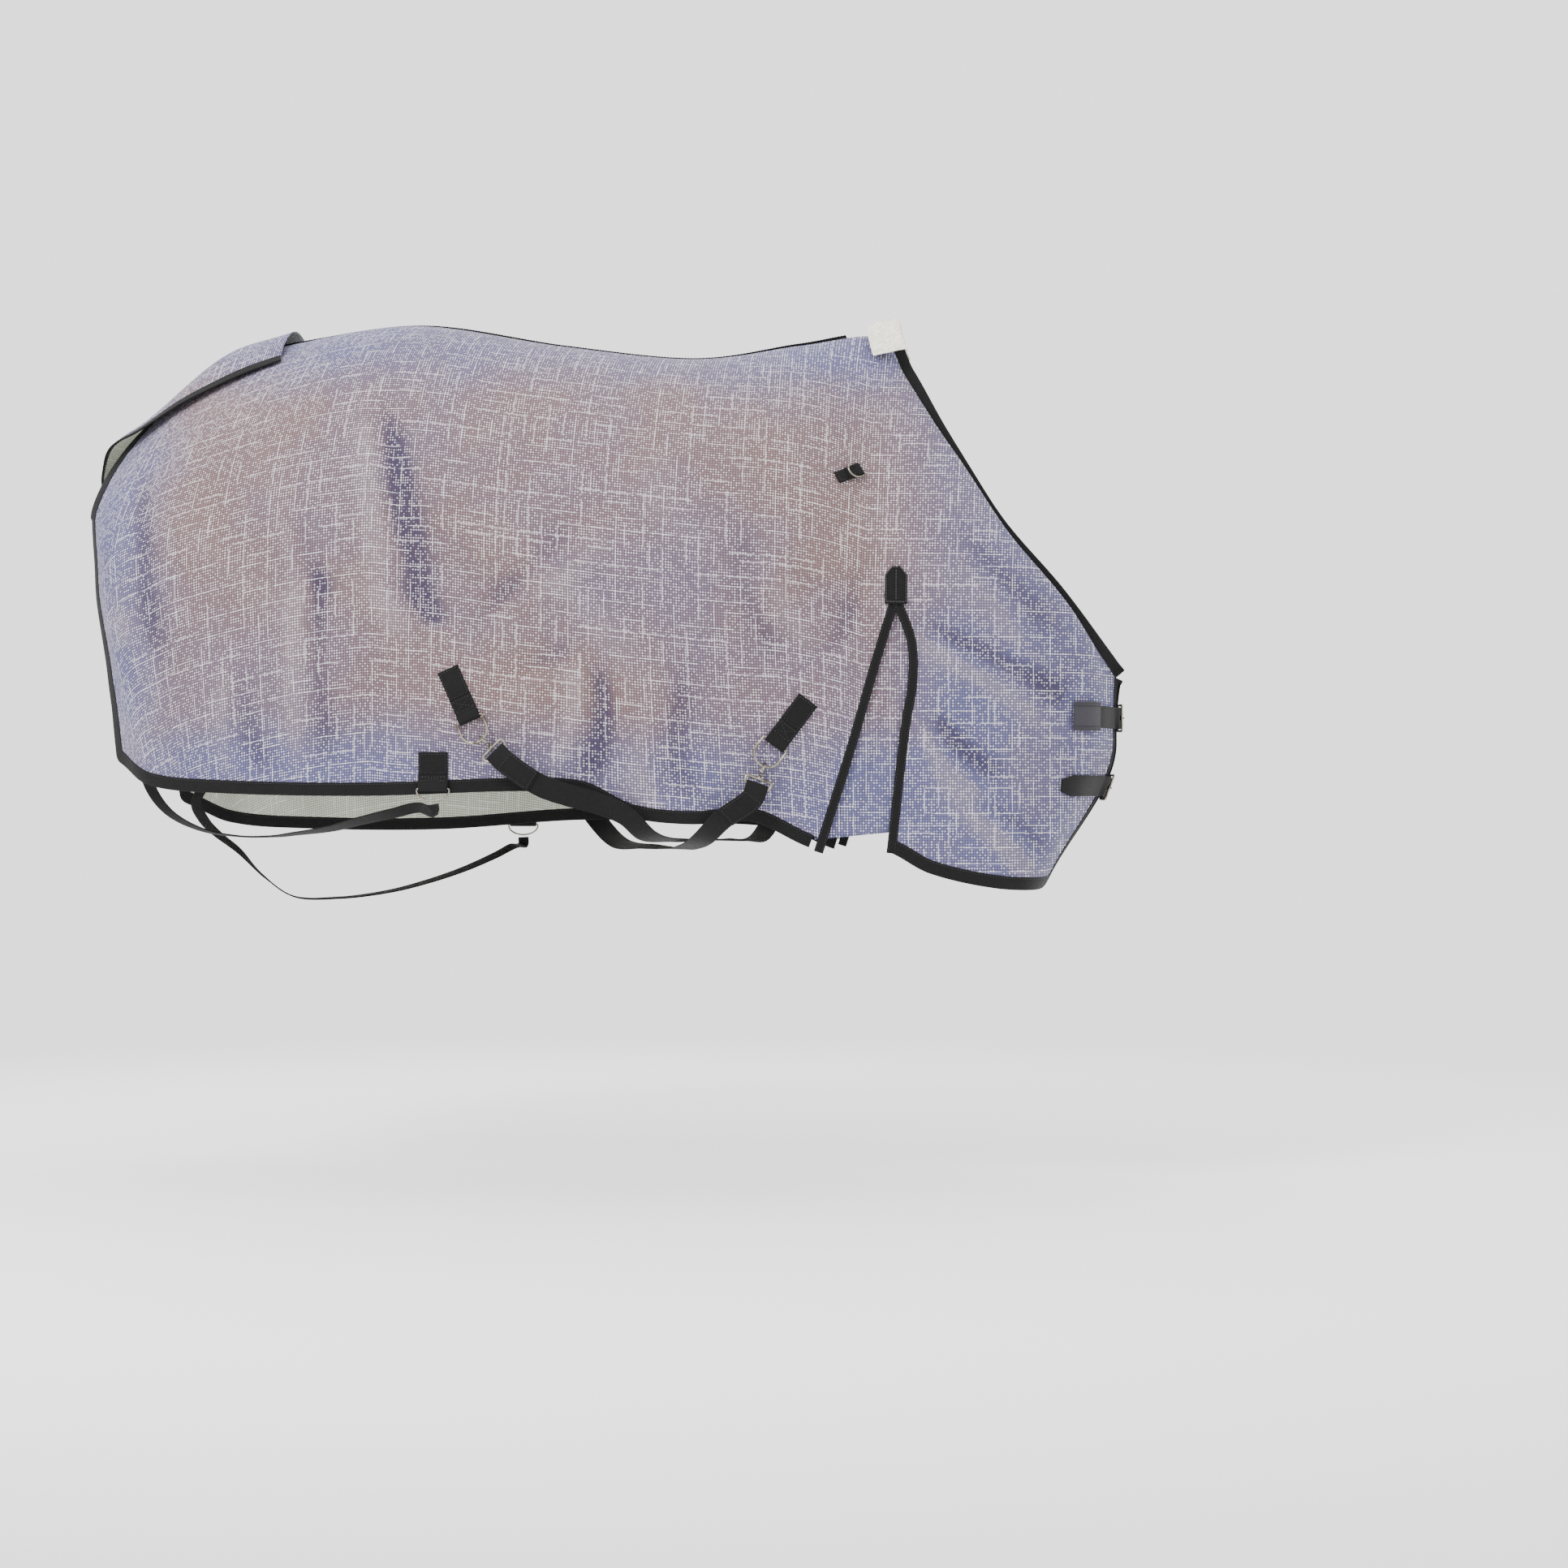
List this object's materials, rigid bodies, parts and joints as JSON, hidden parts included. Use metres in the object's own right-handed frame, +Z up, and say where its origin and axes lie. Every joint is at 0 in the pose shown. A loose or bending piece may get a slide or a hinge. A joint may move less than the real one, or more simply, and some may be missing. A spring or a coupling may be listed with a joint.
{
  "type": "fly sheet",
  "caption": "Mesh fly sheet for a horse, shaped as worn: bound panels, shoulder gussets, tail flap, fleece at the withers, breast closures, crossed belly straps and leg straps.",
  "frame": {"origin": "The point on the withers, in the middle of the back, where the sheet rests on the horse.", "axes": "+X points forward to the head, along the horse. +Y points to its far side, across the sheet. +Z is up."},
  "size_m": [1.8295, 0.7175, 1.0377],
  "materials": {
    "mesh": "open polyester fly mesh with a slubbed grid",
    "binding": "matte woven edge binding, folded over the cloth and stitched",
    "webbing": "matte woven webbing with stitched boxes",
    "strap": "flat woven nylon webbing",
    "metal": "nickel plated wire, slightly worn",
    "fleece": "short curly synthetic fleece",
    "label": "plain woven label with no mark"
  },
  "bodies": {
    "sheet": {"near_body_panel": "mesh", "near_rear_hem_binding": "binding", "near_front_hem_binding": "binding", "near_neck_binding": "binding", "near_slit_binding": "binding", "near_shoulder_gusset": "mesh", "near_gusset_patch": "webbing", "far_body_panel": "mesh", "far_rear_hem_binding": "binding", "far_front_hem_binding": "binding", "far_neck_binding": "binding", "far_slit_binding": "binding", "far_shoulder_gusset": "mesh", "far_gusset_patch": "webbing", "spine_tape": "webbing", "withers_fleece": "fleece", "near_rear_surcingle_tab": "webbing", "far_rear_surcingle_patch": "webbing", "rear_belly_strap": "strap", "near_front_surcingle_tab": "webbing", "far_front_surcingle_patch": "webbing", "front_belly_strap": "strap", "near_hem_tab": "webbing", "near_tail_tab": "webbing", "near_leg_strap": "strap", "near_shoulder_tab": "webbing", "far_hem_tab": "webbing", "far_tail_tab": "webbing", "far_leg_strap": "strap", "far_shoulder_tab": "webbing", "upper_breast_strap": "strap", "upper_breast_anchor": "webbing", "upper_breast_buckle": "metal", "lower_breast_strap": "strap", "lower_breast_anchor": "webbing", "lower_breast_buckle": "metal", "breast_label": "label"},
    "flap": {"tail_flap": "mesh", "tail_flap_binding": "binding"},
    "rear_surcingle_ring": {"near_rear_surcingle_ring": "metal"},
    "rear_surcingle_hook": {"near_rear_surcingle_hook": "metal"},
    "rear_surcingle_gate": {"near_rear_surcingle_gate": "metal"},
    "front_surcingle_ring": {"near_front_surcingle_ring": "metal"},
    "front_surcingle_hook": {"near_front_surcingle_hook": "metal"},
    "front_surcingle_gate": {"near_front_surcingle_gate": "metal"},
    "near_hem_ring": {"near_hem_ring": "metal"},
    "near_tail_ring": {"near_tail_ring": "metal"},
    "near_leg_strap_hook": {"near_leg_strap_hook": "metal"},
    "near_leg_strap_gate": {"near_leg_strap_gate": "metal"},
    "near_shoulder_ring": {"near_shoulder_ring": "metal"},
    "far_hem_ring": {"far_hem_ring": "metal"},
    "far_tail_ring": {"far_tail_ring": "metal"},
    "far_leg_strap_hook": {"far_leg_strap_hook": "metal"},
    "far_leg_strap_gate": {"far_leg_strap_gate": "metal"},
    "far_shoulder_ring": {"far_shoulder_ring": "metal"},
    "upper_breast_tongue": {"upper_breast_tongue": "metal"},
    "lower_breast_tongue": {"lower_breast_tongue": "metal"}
  },
  "joints": [
    {"name": "tail_flap_lift", "type": "hinge", "parent": "sheet", "child": "flap", "pos_m": [-1.03, 0, 0.016], "axis": [0, 1, 0], "range_deg": [0, 60]},
    {"name": "near_rear_surcingle_ring_swing", "type": "hinge", "parent": "sheet", "child": "rear_surcingle_ring", "pos_m": [-0.65405, -0.33503, -0.68825], "axis": [-0.9133, 0.022, -0.4066], "range_deg": [0, 14]},
    {"name": "near_rear_surcingle_hook_swing", "type": "hinge", "parent": "sheet", "child": "rear_surcingle_hook", "pos_m": [-0.65405, -0.33503, -0.68825], "axis": [-0.9133, 0.022, -0.4066], "range_deg": [0, 14], "deforming": ["rear_belly_strap"]},
    {"name": "near_rear_surcingle_gate_open", "type": "hinge", "parent": "rear_surcingle_hook", "child": "rear_surcingle_gate", "pos_m": [-0.62082, -0.35554, -0.72998], "axis": [0.6995, 0.059, 0.7122], "range_deg": [0, 18], "stiffness_Nm_per_rad": 0.002, "springref_deg": -20.05},
    {"name": "near_front_surcingle_ring_swing", "type": "hinge", "parent": "sheet", "child": "front_surcingle_ring", "pos_m": [-0.13755, -0.31303, -0.73057], "axis": [-0.7943, -0.1043, 0.5985], "range_deg": [0, 14]},
    {"name": "near_front_surcingle_hook_swing", "type": "hinge", "parent": "sheet", "child": "front_surcingle_hook", "pos_m": [-0.13755, -0.31303, -0.73057], "axis": [-0.7943, -0.1043, 0.5985], "range_deg": [0, 14], "deforming": ["front_belly_strap"]},
    {"name": "near_front_surcingle_gate_open", "type": "hinge", "parent": "front_surcingle_hook", "child": "front_surcingle_gate", "pos_m": [-0.1589, -0.33246, -0.78034], "axis": [0.9261, 0.1626, -0.3404], "range_deg": [0, 18], "stiffness_Nm_per_rad": 0.002, "springref_deg": -20.05},
    {"name": "near_hem_ring_swing", "type": "hinge", "parent": "sheet", "child": "near_hem_ring", "pos_m": [-0.71707, -0.33125, -0.80616], "axis": [-0.9999, 0.0102, 0], "range_deg": [-6, 60], "deforming": ["near_leg_strap"]},
    {"name": "near_tail_ring_swing", "type": "hinge", "parent": "sheet", "child": "near_tail_ring", "pos_m": [-1.25771, -0.24507, -0.63939], "axis": [0.8387, -0.5446, 0], "range_deg": [0, 24]},
    {"name": "near_leg_strap_hook_swing", "type": "hinge", "parent": "sheet", "child": "near_leg_strap_hook", "pos_m": [-1.25771, -0.24507, -0.63939], "axis": [0.8387, -0.5446, 0], "range_deg": [0, 24], "deforming": ["near_leg_strap"]},
    {"name": "near_leg_strap_gate_open", "type": "hinge", "parent": "near_leg_strap_hook", "child": "near_leg_strap_gate", "pos_m": [-1.24911, -0.23184, -0.66669], "axis": [-0.8387, 0.5446, 0], "range_deg": [0, 18], "stiffness_Nm_per_rad": 0.001, "springref_deg": -20.05},
    {"name": "near_shoulder_ring_swing", "type": "hinge", "parent": "sheet", "child": "near_shoulder_ring", "pos_m": [-0.00164, -0.22354, -0.2614], "axis": [-0.4894, 0.2049, 0.8476], "range_deg": [0, 140]},
    {"name": "far_hem_ring_swing", "type": "hinge", "parent": "sheet", "child": "far_hem_ring", "pos_m": [-0.677, 0.33128, -0.87416], "axis": [1, -0.0001, 0], "range_deg": [-6, 60], "deforming": ["far_leg_strap"]},
    {"name": "far_tail_ring_swing", "type": "hinge", "parent": "sheet", "child": "far_tail_ring", "pos_m": [-1.25748, 0.24396, -0.69944], "axis": [-0.8194, -0.5733, 0], "range_deg": [0, 24]},
    {"name": "far_leg_strap_hook_swing", "type": "hinge", "parent": "sheet", "child": "far_leg_strap_hook", "pos_m": [-1.25748, 0.24396, -0.69944], "axis": [-0.8194, -0.5733, 0], "range_deg": [0, 24], "deforming": ["far_leg_strap"]},
    {"name": "far_leg_strap_gate_open", "type": "hinge", "parent": "far_leg_strap_hook", "child": "far_leg_strap_gate", "pos_m": [-1.24852, 0.23115, -0.72682], "axis": [0.8194, 0.5733, 0], "range_deg": [0, 18], "stiffness_Nm_per_rad": 0.001, "springref_deg": -20.05},
    {"name": "far_shoulder_ring_swing", "type": "hinge", "parent": "sheet", "child": "far_shoulder_ring", "pos_m": [-0.00164, 0.22354, -0.2614], "axis": [0.4894, 0.2049, -0.8476], "range_deg": [0, 140]},
    {"name": "upper_tongue_lift", "type": "hinge", "parent": "sheet", "child": "upper_breast_tongue", "pos_m": [0.44032, 0.02202, -0.68198], "axis": [-0.0019, -0.0005, 1], "range_deg": [0, 45]},
    {"name": "lower_tongue_lift", "type": "hinge", "parent": "sheet", "child": "lower_breast_tongue", "pos_m": [0.41746, 0.02384, -0.80383], "axis": [0.3537, 0.126, 0.9268], "range_deg": [0, 45]}
  ],
  "couplings": [
    {"joint": "near_rear_surcingle_ring_swing", "follows": "near_rear_surcingle_hook_swing", "ratio": 1},
    {"joint": "near_front_surcingle_ring_swing", "follows": "near_front_surcingle_hook_swing", "ratio": 1},
    {"joint": "near_tail_ring_swing", "follows": "near_leg_strap_hook_swing", "ratio": 1},
    {"joint": "far_tail_ring_swing", "follows": "far_leg_strap_hook_swing", "ratio": 1}
  ]
}
